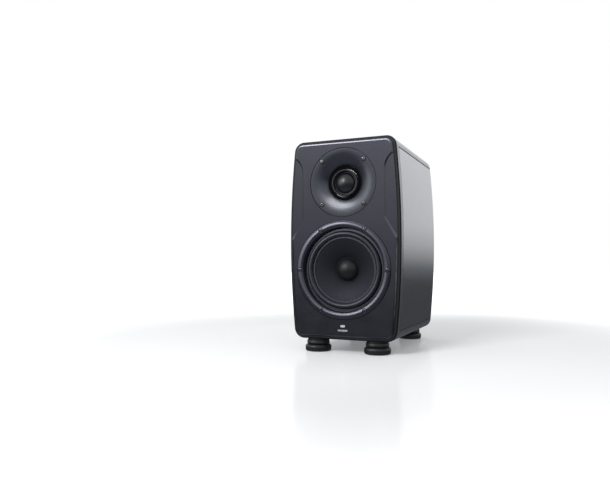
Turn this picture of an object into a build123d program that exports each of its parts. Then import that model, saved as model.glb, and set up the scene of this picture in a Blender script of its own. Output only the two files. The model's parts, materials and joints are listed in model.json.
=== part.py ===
"""Compact two-way active bookshelf speaker with a five-inch woofer, a dome tweeter in a waveguide,
a rear port, a rear amplifier panel and four isolation feet.

Millimetres. +X is to the right of a listener's view of the front, +Y points to the rear, +Z is up.
The origin is on the floor, under the centre of the whole speaker's bounding box.
Depths ("d") run from the front face of the baffle towards the rear. Heights ("h") run from the
cabinet's underside.
"""

from build123d import *
from math import cos, pi, radians, sin, sqrt, tan
import os

# ---------------------------------------------------------------- driving dimensions
CABINET_HEIGHT = 289.5
CABINET_WIDTH = 168.5          # across the widest, middle level
CABINET_DEPTH = 234.0          # baffle face to rear face
SIDE_BOW = 8.0                 # how much narrower each side is at the top and the bottom
CORNER_RADIUS = 15.0
WALL = 9.0
FOOT_HEIGHT = 19.0

WOOFER_HEIGHT = 100.5          # driver axes above the cabinet's underside
TWEETER_HEIGHT = 226.3
WOOFER_SCREW_RADIUS = 66.0
TWEETER_SCREW_RADIUS = 44.7
WOOFER_RING_RADIUS = 70.7
WAVEGUIDE_RADIUS = 49.7
PORT_HEIGHT = 230.0
PORT_RADIUS = 22.0

BAFFLE_FLANGE = 5.0            # the part of the baffle in front of the rim
BAFFLE_THICKNESS = 18.0
BAFFLE_INSET = 4.7             # how far the baffle's outline is inside the cabinet's
RIM_THICKNESS = 2.5
PANEL_THICKNESS = 2.0
PANEL_FRONT = 18.8             # depth at which the side panels start

RING_PROUD = 2.4               # the woofer's trim ring stands this far in front of the baffle
SCREW_PROUD = 2.6              # the heads of its screws are the foremost points
KNOB_END = CABINET_DEPTH + 16.0

CLEARANCE = 0.1
GAP = 0.5                      # the shadow gap around an inlaid piece

# ---------------------------------------------------------------- derived placement
SHELL_FRONT = BAFFLE_FLANGE + RIM_THICKNESS
TOTAL_DEPTH = SCREW_PROUD + KNOB_END
FRONT_Y = SCREW_PROUD - TOTAL_DEPTH / 2
REAR = CABINET_DEPTH
PLATE_THICKNESS = 2.5
PLATE_INNER = REAR - PLATE_THICKNESS
BOARD_FRONT = REAR - 36.5
BOARD_THICKNESS = 1.6

OUT = "parts"


# ---------------------------------------------------------------- helpers
def at(x=0.0, d=0.0, h=0.0):
    """A location from x, the depth behind the baffle's face and the height above the underside."""
    return Pos(x, FRONT_Y + d, FOOT_HEIGHT + h)


def slab(face, start, end, x=0.0, h=0.0):
    """A face drawn as (x, height), given thickness between two depths."""
    drawn = Plane.XZ * face
    return at(x, start, h) * extrude(drawn, amount=-(end - start))


def closed(*edges):
    """A face bounded by edges that follow one another."""
    line = Curve() + list(edges)
    return make_face(line.edges())


def polygon(*points):
    return make_face(Polyline(*points, close=True).edges())


def turned(face, x=0.0, h=0.0, angle=360.0):
    """A solid of revolution about a driver's axis, from a face drawn as (radius, depth)."""
    return at(x, 0.0, h) * revolve(face, axis=Axis.Y, revolution_arc=angle)


def dome_profile(edge_radius, crest, edge, thickness):
    """A thin dome of revolution between its edge and its crest."""
    inner, half = edge_radius - thickness, edge_radius / 2
    middle = crest + sag(edge_radius, edge - crest, half)
    return closed(
        Line((0, crest), (0, crest + thickness)),
        ThreePointArc((0, crest + thickness), (half * 0.95, middle + thickness), (inner, edge)),
        Line((inner, edge), (edge_radius, edge)),
        ThreePointArc((edge_radius, edge), (half, middle), (0, crest)),
    )


def ring_profile(inner, outer, start, end):
    return polygon((inner, start), (outer, start), (outer, end), (inner, end))


def tube(inner, outer, start, end, x=0.0, h=0.0):
    return turned(ring_profile(inner, outer, start, end), x, h)


def rod(radius, start, end, x=0.0, h=0.0):
    return slab(Circle(radius), start, end, x, h)


def block(width, height, start, end, x=0.0, h=0.0, corner=0.0):
    face = RectangleRounded(width, height, corner) if corner else Rectangle(width, height)
    return slab(face, start, end, x, h)


def group(solids):
    """Separate solids that share one node."""
    return Compound(children=[s for piece in solids for s in piece.solids()])


def largest(shape):
    return max(shape.solids(), key=lambda s: s.volume)


def ring_points(count, radius, first=0.0):
    return [
        (radius * cos(radians(first + 360 * i / count)), radius * sin(radians(first + 360 * i / count)))
        for i in range(count)
    ]


def sag(edge_radius, height, radius):
    """How far a spherical cap has dropped from its crest at a radius."""
    sphere = (edge_radius**2 + height**2) / (2 * height)
    return sphere - sqrt(sphere**2 - radius**2)


def save(name, shape):
    export_step(shape, os.path.join(OUT, name + ".step"))


# ---------------------------------------------------------------- outline of the cabinet
def half_width(height, inset=0.0):
    """Half the cabinet's width at a height, measured on its bowed side."""
    middle = CABINET_HEIGHT / 2
    return CABINET_WIDTH / 2 - SIDE_BOW * ((height - middle) / middle) ** 2 - inset


def outline(inset=0.0):
    """The cabinet seen from the front: straight top and bottom, bowed sides, round corners."""
    top = CABINET_HEIGHT
    middle = top / 2
    end = half_width(0)
    face = closed(
        Line((-end, 0), (end, 0)),
        ThreePointArc((end, 0), (half_width(middle), middle), (end, top)),
        Line((end, top), (-end, top)),
        ThreePointArc((-end, top), (-half_width(middle), middle), (-end, 0)),
    )
    face = fillet(face.vertices(), CORNER_RADIUS)
    return offset(face, amount=-inset, kind=Kind.ARC) if inset else face


def front_edges(solid):
    """The edges that lie in a solid's foremost plane."""
    return solid.faces().sort_by(Axis.Y)[0].outer_wire().edges()


def rear_edges(solid):
    return solid.faces().sort_by(Axis.Y)[-1].outer_wire().edges()


FLANK_X = 61.4                 # the flank's inner edge beside the tweeter
FLANK_LOW, FLANK_HIGH = 174.5, 243.0
FLANK_STEP, FLANK_SLOPE = 1.5, 5.5
FLANK_ARC = 28.0


def flank_region():
    """The right-hand flank of the baffle: an arc, an upright edge and a slanted lower edge."""
    far = 110.0
    turn = radians(80)
    arc_end = (FLANK_X + FLANK_ARC * (1 - cos(turn)), FLANK_HIGH + FLANK_ARC * sin(turn))
    arc_mid = (FLANK_X + FLANK_ARC * (1 - cos(turn / 2)), FLANK_HIGH + FLANK_ARC * sin(turn / 2))
    low_end = (far, FLANK_LOW - 1.82 * (far - FLANK_X))
    face = closed(
        Line((FLANK_X, FLANK_LOW), (FLANK_X, FLANK_HIGH)),
        ThreePointArc((FLANK_X, FLANK_HIGH), arc_mid, arc_end),
        Line(arc_end, (far, arc_end[1])),
        Line((far, arc_end[1]), low_end),
        Line(low_end, (FLANK_X, FLANK_LOW)),
    )
    return fillet(face.vertices().sort_by_distance((FLANK_X, FLANK_LOW))[0], 5.0)


def flank_cutter():
    """What is taken off the right-hand flank: it slopes back from a small step to the outer edge."""
    depth = 4.6
    prism = at() * extrude(Plane.XZ * flank_region(), amount=-depth, taper=45)
    reach = 60.0
    wedge = polygon(
        (FLANK_X - 5, -1),
        (FLANK_X + reach, -1),
        (FLANK_X + reach, FLANK_STEP + reach * tan(radians(FLANK_SLOPE))),
        (FLANK_X - 5, FLANK_STEP - 5 * tan(radians(FLANK_SLOPE))),
    )
    return prism & (at() * extrude(wedge, amount=CABINET_HEIGHT))


# ---------------------------------------------------------------- screws
def screw(head_radius, head_height, shank_radius, shank_length, socket_radius):
    """A button-head screw. Its head stands on z = 0 and its shank runs down from there."""
    crown = head_height * 0.65
    land = socket_radius + 0.2
    rim = head_radius - land
    head = closed(
        Line((0, 0), (head_radius, 0)),
        Line((head_radius, 0), (head_radius, head_height - crown)),
        ThreePointArc(
            (head_radius, head_height - crown),
            (land + rim * sin(pi / 4), head_height - crown * (1 - cos(pi / 4))),
            (land, head_height),
        ),
        Line((land, head_height), (0, head_height)),
        Line((0, head_height), (0, 0)),
    )
    body = revolve(Plane.XZ * head, axis=Axis.Z) + Pos(0, 0, -shank_length / 2) * Cylinder(
        shank_radius, shank_length
    )
    socket_depth = head_height * 0.6
    socket = extrude(RegularPolygon(socket_radius, 6), amount=socket_depth)
    return body - Pos(0, 0, head_height - socket_depth + 0.02) * socket


FACING_FRONT = Rot(90, 0, 0)
FACING_REAR = Rot(-90, 0, 0)


# ---------------------------------------------------------------- cabinet
def cabinet_body():
    """The whole cabinet as one block, before it is hollowed."""
    body = slab(outline(), SHELL_FRONT, REAR)
    return fillet(rear_edges(body), 2.5)


PANEL_LOW = CORNER_RADIUS + 0.6
PANEL_HIGH = CABINET_HEIGHT - CORNER_RADIUS - 0.6


def side_zone(side, clearance):
    """The box that bounds a side panel, grown by a clearance."""
    front = PANEL_FRONT - clearance
    low = PANEL_LOW - clearance
    high = PANEL_HIGH + clearance
    depth = REAR - front + 5
    return at(side * 80, front + depth / 2, (low + high) / 2) * Box(60, depth, high - low)


def side_skin(body, side, thickness, clearance):
    """The outer layer of one side of the cabinet, where its inlaid panel lies."""
    inner = slab(outline(thickness), SHELL_FRONT - 1, REAR + 1)
    return (body & side_zone(side, clearance)) - inner


def side_panel(body, side):
    skin = side_skin(body, side, PANEL_THICKNESS, 0.0)
    trimmed = skin - at(0, REAR + 9.6, 0) * Box(400, 20, 800)
    return largest(trimmed)


PLATE_WIDTH, PLATE_HEIGHT, PLATE_CENTRE = 124.0, 166.0, 95.0
PLATE_OPENING_WIDTH, PLATE_OPENING_HEIGHT = 108.0, 150.0
PLATE_GASKET = 1.0
PORT_FLANGE_RADIUS = 35.6
PORT_FLANGE = 3.0


def foot_places():
    foot_x, inset = 45.3, 20.0
    return [(x, d) for x in (-foot_x, foot_x) for d in (inset, REAR - inset)]


FOOT_BOLT_RADIUS = 3.0


def cabinet_shell(body):
    shell = body - slab(outline(WALL), SHELL_FRONT - 1, REAR - WALL)
    for side in (-1, 1):
        shell -= side_skin(body, side, PANEL_THICKNESS + 0.2, 0.7)
    recess = PLATE_THICKNESS + PLATE_GASKET
    shell -= block(PLATE_WIDTH + 0.6, PLATE_HEIGHT + 0.6, REAR - recess, REAR + 1, 0, PLATE_CENTRE, 6.3)
    shell -= block(
        PLATE_OPENING_WIDTH, PLATE_OPENING_HEIGHT, REAR - WALL - 1, REAR, 0, PLATE_CENTRE, 5.0
    )
    shell -= rod(PORT_FLANGE_RADIUS + 0.3, REAR - PORT_FLANGE, REAR + 1, 0, PORT_HEIGHT)
    shell -= rod(33.6, REAR - WALL - 1, REAR, 0, PORT_HEIGHT)
    for x, h in plate_screw_places():
        shell -= rod(1.9 + CLEARANCE, REAR - WALL - 1, REAR, x, h)
    for x, d in foot_places():
        shell -= at(x, d, WALL / 2) * Cylinder(FOOT_BOLT_RADIUS + CLEARANCE, WALL + 2)
    return shell


SPIGOT_INSET = WALL + 0.3


def front_rim():
    """The black ring between the baffle and the cabinet's front edge."""
    rim = slab(outline(), BAFFLE_FLANGE, SHELL_FRONT)
    rim = fillet(front_edges(rim), 1.9)
    return rim - slab(outline(SPIGOT_INSET - 0.2), BAFFLE_FLANGE - 1, SHELL_FRONT + 1)


WOOFER_RECESS = 9.0
WAVEGUIDE_FLANGE = 4.5
BADGE_HEIGHT, LIGHT_HEIGHT = 14.0, 20.2
BADGE_SIZE, LIGHT_SIZE = (15.0, 2.6), (7.0, 3.2)
INLAY_DEPTH = 0.8


def front_baffle():
    baffle = slab(outline(BAFFLE_INSET), 0, BAFFLE_FLANGE)
    baffle = fillet(front_edges(baffle), 3.0)
    cutter = flank_cutter()
    baffle -= cutter
    baffle -= mirror(cutter, about=Plane.YZ)
    baffle += slab(outline(SPIGOT_INSET), BAFFLE_FLANGE - 0.5, BAFFLE_THICKNESS)
    baffle -= rod(WOOFER_RING_RADIUS + GAP, -1, WOOFER_RECESS, 0, WOOFER_HEIGHT)
    baffle -= rod(61.8, 0, BAFFLE_THICKNESS + 1, 0, WOOFER_HEIGHT)
    baffle -= rod(WAVEGUIDE_RADIUS + GAP, -1, WAVEGUIDE_FLANGE + CLEARANCE, 0, TWEETER_HEIGHT)
    baffle -= rod(41.0, 0, BAFFLE_THICKNESS + 1, 0, TWEETER_HEIGHT)
    for x, h in ring_points(6, WOOFER_SCREW_RADIUS):
        baffle -= rod(1.9 + CLEARANCE, 0, BAFFLE_THICKNESS + 1, x, WOOFER_HEIGHT + h)
    for x, h in ring_points(4, TWEETER_SCREW_RADIUS, 45):
        baffle -= rod(1.7 + CLEARANCE, 0, BAFFLE_THICKNESS + 1, x, TWEETER_HEIGHT + h)
    for (width, height), h in ((BADGE_SIZE, BADGE_HEIGHT), (LIGHT_SIZE, LIGHT_HEIGHT)):
        corner = height / 2 - 0.05
        baffle -= block(width + 0.2, height + 0.2, -1, INLAY_DEPTH, 0, h, corner)
    return baffle


def inlay(size, h, proud):
    width, height = size
    return block(width, height, -proud, INLAY_DEPTH, 0, h, height / 2 - 0.05)


# ---------------------------------------------------------------- woofer
LIP_FRONT, LIP_BACK = 6.2, 7.0       # the surround's clamped outer lip
ROLL_INNER, ROLL_OUTER = 47.7, 56.3
SURROUND_THICKNESS = 0.8
COIL_INNER, COIL_FORMER, COIL_OUTER = 12.5, 12.85, 13.5
POLE_RADIUS, GAP_RADIUS = 12.0, 14.0
BASKET_FLOOR, TOP_PLATE_BACK, MAGNET_BACK, YOKE_BACK = 46.0, 52.0, 68.0, 74.0
NECK_DEPTH, DUST_CAP_FOOT = 27.5, 22.4
SCREW_HEAD = 2.2
WOOFER_SCREW_SEAT = SCREW_HEAD - SCREW_PROUD


def woofer_trim_ring():
    """A softly crowned ring that covers the basket's flange and clamps the surround's lip."""
    inner, outer = 60.0, WOOFER_RING_RADIUS
    crest, half = 65.8, 3.9
    shoulder = 0.85 - RING_PROUD
    face = closed(
        Line((outer, 3.0), (outer, -0.2)),
        ThreePointArc((outer, -0.2), (70.35, -1.05), (crest + half, shoulder)),
        ThreePointArc((crest + half, shoulder), (crest, -RING_PROUD), (crest - half, shoulder)),
        ThreePointArc((crest - half, shoulder), (61.2, -0.85), (inner + 0.9, 0.2)),
        Line((inner + 0.9, 0.2), (inner, 2.2)),
        Line((inner, 2.2), (inner, LIP_FRONT)),
        Line((inner, LIP_FRONT), (62.3, LIP_FRONT)),
        Line((62.3, LIP_FRONT), (62.3, 3.0)),
        Line((62.3, 3.0), (outer, 3.0)),
    )
    ring = turned(face, 0, WOOFER_HEIGHT)
    for x, h in ring_points(6, WOOFER_SCREW_RADIUS):
        ring -= rod(1.9 + CLEARANCE, -5, 5, x, WOOFER_HEIGHT + h)
        ring -= rod(3.5, -5, WOOFER_SCREW_SEAT, x, WOOFER_HEIGHT + h)
    return ring


def woofer_surround():
    """A rubber half roll with a flat lip on each side."""
    middle = (ROLL_INNER + ROLL_OUTER) / 2
    outside = (ROLL_OUTER - ROLL_INNER) / 2
    base = LIP_BACK
    inside = outside - SURROUND_THICKNESS
    lip_inner, lip_outer = 45.2, 62.0
    top = base - SURROUND_THICKNESS
    face = closed(
        Line((lip_outer, base), (lip_outer, top)),
        Line((lip_outer, top), (ROLL_OUTER, top)),
        ThreePointArc((ROLL_OUTER, top), (middle, top - outside), (ROLL_INNER, top)),
        Line((ROLL_INNER, top), (lip_inner, top)),
        Line((lip_inner, top), (lip_inner, base)),
        Line((lip_inner, base), (middle - inside, base)),
        ThreePointArc((middle - inside, base), (middle, base - inside), (middle + inside, base)),
        Line((middle + inside, base), (lip_outer, base)),
    )
    return turned(face, 0, WOOFER_HEIGHT)


def woofer_cone():
    """A curved cone with a flat rim for the surround and a neck on the coil former."""
    rim_inner, rim_outer, rim_front, thickness = 45.0, 47.6, LIP_BACK, 1.0
    neck = COIL_FORMER + 0.05
    face = closed(
        Line((rim_outer, rim_front), (rim_inner, rim_front)),
        ThreePointArc((rim_inner, rim_front), (29.0, 13.4), (neck, NECK_DEPTH)),
        Line((neck, NECK_DEPTH), (neck, NECK_DEPTH + 2.0)),
        ThreePointArc(
            (neck, NECK_DEPTH + 2.0), (29.5, 14.6), (rim_inner + 0.3, rim_front + thickness)
        ),
        Line((rim_inner + 0.3, rim_front + thickness), (rim_outer, rim_front + thickness)),
        Line((rim_outer, rim_front + thickness), (rim_outer, rim_front)),
    )
    return turned(face, 0, WOOFER_HEIGHT)


def woofer_dust_cap():
    radius, crest, thickness = 17.2, 12.0, 0.8
    return turned(dome_profile(radius, crest, DUST_CAP_FOOT, thickness), 0, WOOFER_HEIGHT)


def woofer_voice_coil():
    former = tube(COIL_INNER, COIL_FORMER, NECK_DEPTH + 0.4, 57.0, 0, WOOFER_HEIGHT)
    winding = tube(COIL_FORMER, COIL_OUTER, 43.0, 55.0, 0, WOOFER_HEIGHT)
    return group([former, winding])


def woofer_spider():
    """A corrugated cloth disc that centres the coil."""
    inner, first, last, outer = COIL_FORMER + 0.05, 16.0, 32.6, 38.6
    level, thickness, wave = 37.8, 0.7, 1.4
    steps, waves = 60, 5
    crest = []
    for i in range(steps + 1):
        t = i / steps
        r = first + (last - first) * t
        crest.append((r, level - wave * sin(2 * pi * waves * t) * sin(pi * t) ** 0.5))
    front = [(inner, level), *crest, (outer, level)]
    back = [(r, d + thickness) for r, d in reversed(front)]
    return turned(polygon(*front, *back), 0, WOOFER_HEIGHT)


def woofer_basket():
    """A cast frame: flange, tapered wall with six windows, spider ledge and motor seat."""
    flange_front, flange_back = 3.0, 8.0
    ledge = 38.5
    face = polygon(
        (WOOFER_RING_RADIUS, flange_front),
        (WOOFER_RING_RADIUS, flange_back),
        (61.2, flange_back),
        (59.6, 19.0),
        (42.0, 40.0),
        (42.0, BASKET_FLOOR),
        (22.0, BASKET_FLOOR),
        (22.0, BASKET_FLOOR - 2.2),
        (33.4, BASKET_FLOOR - 2.2),
        (33.4, ledge),
        (39.2, ledge),
        (57.2, 17.5),
        (57.8, LIP_BACK),
        (62.4, LIP_BACK),
        (62.4, flange_front),
    )
    basket = turned(face, 0, WOOFER_HEIGHT)
    window = revolve(ring_profile(34.0, 66.0, 13.0, 36.0), axis=Axis.Y, revolution_arc=38)
    window = Rot(0, 19 + 30, 0) * window
    for i in range(6):
        basket -= at(0, 0, WOOFER_HEIGHT) * (Rot(0, 60 * i, 0) * window)
    for x, h in ring_points(6, WOOFER_SCREW_RADIUS):
        basket -= rod(1.9 + CLEARANCE, 0, 10, x, WOOFER_HEIGHT + h)
    return basket


def woofer_gasket():
    gasket = tube(62.2, WOOFER_RING_RADIUS, 8.0, WOOFER_RECESS, 0, WOOFER_HEIGHT)
    for x, h in ring_points(6, WOOFER_SCREW_RADIUS):
        gasket -= rod(2.2, 7, 10, x, WOOFER_HEIGHT + h)
    return gasket


def woofer_yoke():
    """The back plate and the vented pole piece."""
    vent, plate = 3.5, 38.0
    face = polygon(
        (vent, BASKET_FLOOR - 1.0),
        (POLE_RADIUS, BASKET_FLOOR - 1.0),
        (POLE_RADIUS, MAGNET_BACK),
        (plate, MAGNET_BACK),
        (plate, YOKE_BACK - 1.5),
        (plate - 1.5, YOKE_BACK),
        (vent + 2.0, YOKE_BACK),
        (vent, YOKE_BACK - 4.0),
    )
    return turned(face, 0, WOOFER_HEIGHT)


TERMINAL_H = WOOFER_HEIGHT - 61.0
TERMINAL_DEPTH = 27.0


def woofer_terminals():
    """A tag strip on the basket's lowest leg, with two blades that point down."""
    strip = block(20.0, 12.0, TERMINAL_DEPTH - 2, TERMINAL_DEPTH + 6, 0, TERMINAL_H + 6.0)
    leg = polygon((0, 19.0), (59.65, 19.0), (42.05, 40.0), (0, 40.0))
    strip -= turned(leg, 0, WOOFER_HEIGHT)
    back = TERMINAL_DEPTH + 0.8
    blades = [block(3.0, 9.0, TERMINAL_DEPTH, back, x, TERMINAL_H - 4.5) for x in (-6.0, 6.0)]
    return group([strip, *blades])


def woofer_screws():
    one = screw(3.1, SCREW_HEAD, 1.9, 14.5, 1.5)
    places = ring_points(6, WOOFER_SCREW_RADIUS)
    return group([at(x, WOOFER_SCREW_SEAT, WOOFER_HEIGHT + h) * FACING_FRONT * one for x, h in places])


# ---------------------------------------------------------------- tweeter
THROAT_RADIUS, THROAT_DEPTH = 25.5, 11.0
DOME_RADIUS, DOME_CREST, DOME_EDGE = 14.6, 6.2, 12.2
MOTOR_FRONT = 13.9
TWEETER_SCREW_SEAT = 1.6
TWEETER_PLATE_BACK, TWEETER_MAGNET_BACK, TWEETER_BACK = 17.9, 29.0, 34.0


def tweeter_waveguide():
    """A flange that curves inwards to a round throat, with its back on the motor's front plate."""
    mouth, face_depth = 47.5, 0.2
    fall = THROAT_DEPTH - face_depth
    radius = ((mouth - THROAT_RADIUS) ** 2 + fall**2) / (2 * fall)
    middle = (mouth + THROAT_RADIUS) / 2
    middle_depth = face_depth + radius - sqrt(radius**2 - (mouth - middle) ** 2)
    face = closed(
        Line((WAVEGUIDE_RADIUS, face_depth + 0.4), (WAVEGUIDE_RADIUS - 0.4, face_depth)),
        Line((WAVEGUIDE_RADIUS - 0.4, face_depth), (mouth, face_depth)),
        ThreePointArc((mouth, face_depth), (middle, middle_depth), (THROAT_RADIUS, THROAT_DEPTH)),
        Line((THROAT_RADIUS, THROAT_DEPTH), (THROAT_RADIUS, MOTOR_FRONT)),
        Line((THROAT_RADIUS, MOTOR_FRONT), (37.0, MOTOR_FRONT)),
        Line((37.0, MOTOR_FRONT), (40.6, WAVEGUIDE_FLANGE)),
        Line((40.6, WAVEGUIDE_FLANGE), (WAVEGUIDE_RADIUS, WAVEGUIDE_FLANGE)),
        Line((WAVEGUIDE_RADIUS, WAVEGUIDE_FLANGE), (WAVEGUIDE_RADIUS, face_depth + 0.4)),
    )
    guide = turned(face, 0, TWEETER_HEIGHT)
    for x, h in ring_points(4, TWEETER_SCREW_RADIUS, 45):
        guide -= rod(1.7 + CLEARANCE, -1, 6, x, TWEETER_HEIGHT + h)
        guide -= rod(3.5, -1, TWEETER_SCREW_SEAT, x, TWEETER_HEIGHT + h)
    return guide


def tweeter_retaining_ring():
    inner, outer, shoulder, back = 17.4, 19.6, 8.7, 13.4
    face = closed(
        Line((outer, back), (outer, shoulder)),
        ThreePointArc((outer, shoulder), ((inner + outer) / 2, shoulder - 0.8), (inner, shoulder)),
        Line((inner, shoulder), (inner, back)),
        Line((inner, back), (outer, back)),
    )
    return turned(face, 0, TWEETER_HEIGHT)


def tweeter_dome():
    return turned(dome_profile(DOME_RADIUS, DOME_CREST, DOME_EDGE, 0.4), 0, TWEETER_HEIGHT)


def tweeter_surround():
    """A narrow half roll from the dome's edge to a lip under the retaining ring."""
    inner, outer, top, thickness = DOME_RADIUS + 0.05, 16.8, 13.4, 0.4
    middle, roll = (inner + outer) / 2, (outer - inner) / 2
    back = top + thickness
    face = closed(
        Line((20.0, back), (20.0, top)),
        Line((20.0, top), (outer, top)),
        ThreePointArc((outer, top), (middle, top - 2.2), (inner, top - 0.6)),
        Line((inner, top - 0.6), (inner, top - 0.1)),
        ThreePointArc((inner, top - 0.1), (middle, top - 1.6), (middle + roll - 0.2, back - 0.1)),
        Line((middle + roll - 0.2, back - 0.1), (middle + roll - 0.2, back)),
        Line((middle + roll - 0.2, back), (20.0, back)),
    )
    return turned(face, 0, TWEETER_HEIGHT)


def tweeter_yoke():
    face = polygon(
        (0, 15.0),
        (13.6, 15.0),
        (13.6, TWEETER_MAGNET_BACK),
        (32.0, TWEETER_MAGNET_BACK),
        (32.0, TWEETER_BACK - 1.0),
        (31.0, TWEETER_BACK),
        (0, TWEETER_BACK),
    )
    return turned(face, 0, TWEETER_HEIGHT)


TWEETER_TAG_X = 20.0


def tweeter_front_plate():
    """The steel front plate, with a pair of solder tags on its lower edge."""
    plate = tube(15.4, 36.5, MOTOR_FRONT, TWEETER_PLATE_BACK, 0, TWEETER_HEIGHT)
    tag_h = TWEETER_HEIGHT - 37.5
    tags = [block(4.0, 8.0, 18.1, 18.9, x, tag_h) for x in (TWEETER_TAG_X - 8, TWEETER_TAG_X)]
    return plate, tags


def tweeter_screws():
    one = screw(3.1, SCREW_HEAD, 1.7, 11.5, 1.5)
    places = ring_points(4, TWEETER_SCREW_RADIUS, 45)
    return group([at(x, TWEETER_SCREW_SEAT, TWEETER_HEIGHT + h) * FACING_FRONT * one for x, h in places])


# ---------------------------------------------------------------- port
PORT_INNER_END = 116.0


def port_tube():
    """A round duct that flares at both ends, with a flange that lies flush in the rear wall."""
    wall, flare = 2.4, 9.0
    mouth = PORT_RADIUS + flare
    inner_flare = 4.0
    bend = PORT_INNER_END + 8.0
    face = closed(
        Line((PORT_FLANGE_RADIUS, REAR - PORT_FLANGE), (PORT_FLANGE_RADIUS, REAR)),
        Line((PORT_FLANGE_RADIUS, REAR), (mouth, REAR)),
        ThreePointArc((mouth, REAR), (PORT_RADIUS + 2.4, REAR - 6.8), (PORT_RADIUS, REAR - 19.0)),
        Line((PORT_RADIUS, REAR - 19.0), (PORT_RADIUS, bend)),
        ThreePointArc(
            (PORT_RADIUS, bend), (PORT_RADIUS + 1.1, bend - 4.6), (PORT_RADIUS + inner_flare, PORT_INNER_END)
        ),
        Line((PORT_RADIUS + inner_flare, PORT_INNER_END), (PORT_RADIUS + inner_flare + 1.2, PORT_INNER_END)),
        ThreePointArc(
            (PORT_RADIUS + inner_flare + 1.2, PORT_INNER_END),
            (PORT_RADIUS + wall + 1.2, bend - 3.0),
            (PORT_RADIUS + wall, bend + 2.0),
        ),
        Line((PORT_RADIUS + wall, bend + 2.0), (PORT_RADIUS + wall, REAR - 19.0)),
        ThreePointArc(
            (PORT_RADIUS + wall, REAR - 19.0), (PORT_RADIUS + 5.6, REAR - 7.6), (33.2, REAR - PORT_FLANGE)
        ),
        Line((33.2, REAR - PORT_FLANGE), (PORT_FLANGE_RADIUS, REAR - PORT_FLANGE)),
    )
    return turned(face, 0, PORT_HEIGHT)


# ---------------------------------------------------------------- amplifier panel
def plate_screw_places():
    side = PLATE_WIDTH / 2 - 4.0
    low = PLATE_CENTRE - PLATE_HEIGHT / 2 + 4.5
    high = PLATE_CENTRE + PLATE_HEIGHT / 2 - 4.5
    step = (high - low) / 3
    return [(x, low + step * i) for x in (-side, side) for i in range(4)]


INLET = (-30.0, 36.0)
ROCKER = (8.0, 36.0)
COMBO = (32.0, 76.0)
USB = (-8.0, 76.0)
KNOB = (32.0, 122.0)
BUTTON = (-8.0, 122.0)
SWITCH_H = 154.0
SWITCH_XS = (-34.0, 0.0, 34.0)
SLIDER_TRAVEL = 2.0
STANDOFFS = [(x, h) for x in (-49.0, 49.0) for h in (58.0, 165.0)]


def amp_plate():
    plate = block(PLATE_WIDTH, PLATE_HEIGHT, PLATE_INNER, REAR, 0, PLATE_CENTRE, 6.0)
    plate = chamfer(rear_edges(plate), 0.6)
    for x, h in plate_screw_places():
        plate -= rod(2.0, PLATE_INNER - 1, REAR + 1, x, h)
    for x, h in STANDOFFS:
        plate -= rod(1.6, PLATE_INNER - 1, REAR + 1, x, h)
    plate -= block(27.8, 20.6, PLATE_INNER - 1, REAR + 1, *INLET, 3.0)
    plate -= block(13.4, 21.0, PLATE_INNER - 1, REAR + 1, *ROCKER, 1.0)
    plate -= rod(11.8, PLATE_INNER - 1, REAR + 1, *COMBO)
    plate -= block(12.4, 11.2, PLATE_INNER - 1, REAR + 1, *USB, 0.8)
    plate -= rod(4.1, PLATE_INNER - 1, REAR + 1, *KNOB)
    plate -= rod(3.9, PLATE_INNER - 1, REAR + 1, *BUTTON)
    for x in SWITCH_XS:
        plate -= block(9.6, 3.8, PLATE_INNER - 1, REAR + 1, x, SWITCH_H, 0.4)
    return plate


def amp_plate_gasket():
    front, back = PLATE_INNER - PLATE_GASKET, PLATE_INNER
    gasket = block(PLATE_WIDTH - 1, PLATE_HEIGHT - 1, front, back, 0, PLATE_CENTRE, 5.5)
    gasket -= block(PLATE_OPENING_WIDTH, PLATE_OPENING_HEIGHT, front - 1, back + 1, 0, PLATE_CENTRE, 5.0)
    for x, h in plate_screw_places():
        gasket -= rod(2.2, front - 1, back + 1, x, h)
    return gasket


def amp_plate_screws():
    one = screw(3.2, SCREW_HEAD, 1.9, 13.0, 1.5)
    return group([at(x, REAR, h) * FACING_REAR * one for x, h in plate_screw_places()])


INLET_DEPTH = 16.0


def power_inlet():
    """A mains inlet: a flanged shroud with a six-sided cavity for three pins."""
    body = block(27.2, 20.0, REAR - 26, REAR + 0.5, *INLET, 2.6)
    body += block(32.0, 25.0, REAR, REAR + 2.0, *INLET, 2.0)
    width, height, cut = 24.4, 16.6, 5.0
    cavity = polygon(
        (-width / 2, height / 2),
        (width / 2, height / 2),
        (width / 2, -height / 2 + cut),
        (width / 2 - cut, -height / 2),
        (-width / 2 + cut, -height / 2),
        (-width / 2, -height / 2 + cut),
    )
    return body - slab(cavity, REAR + 2.0 - INLET_DEPTH, REAR + 3, *INLET)


def power_inlet_pins(inlet):
    """Three blades that stand in the cavity and come out of the back as tabs."""
    x0, h0 = INLET
    pins = [
        block(2.0, 4.0, REAR - 34, REAR - 4.5, x0 + x, h0 + h)
        for x, h in ((-7.0, -1.5), (0.0, 3.4), (7.0, -1.5))
    ]
    for pin in pins:
        inlet -= pin
    return inlet, group(pins)


ROCKER_TILT = 9.0
ROCKER_PIVOT_DEPTH = REAR - 4.0


def power_switch_housing():
    body = block(12.8, 20.4, REAR - 18, REAR + 0.5, *ROCKER, 0.8)
    body += block(16.5, 25.0, REAR, REAR + 1.8, *ROCKER, 1.5)
    body -= block(10.8, 18.8, REAR - 12, REAR + 3, *ROCKER, 0.4)
    x, h = ROCKER
    pivot = at(x, ROCKER_PIVOT_DEPTH, h) * (Rot(0, 90, 0) * Cylinder(1.3, 12.0))
    return body - pivot


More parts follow.
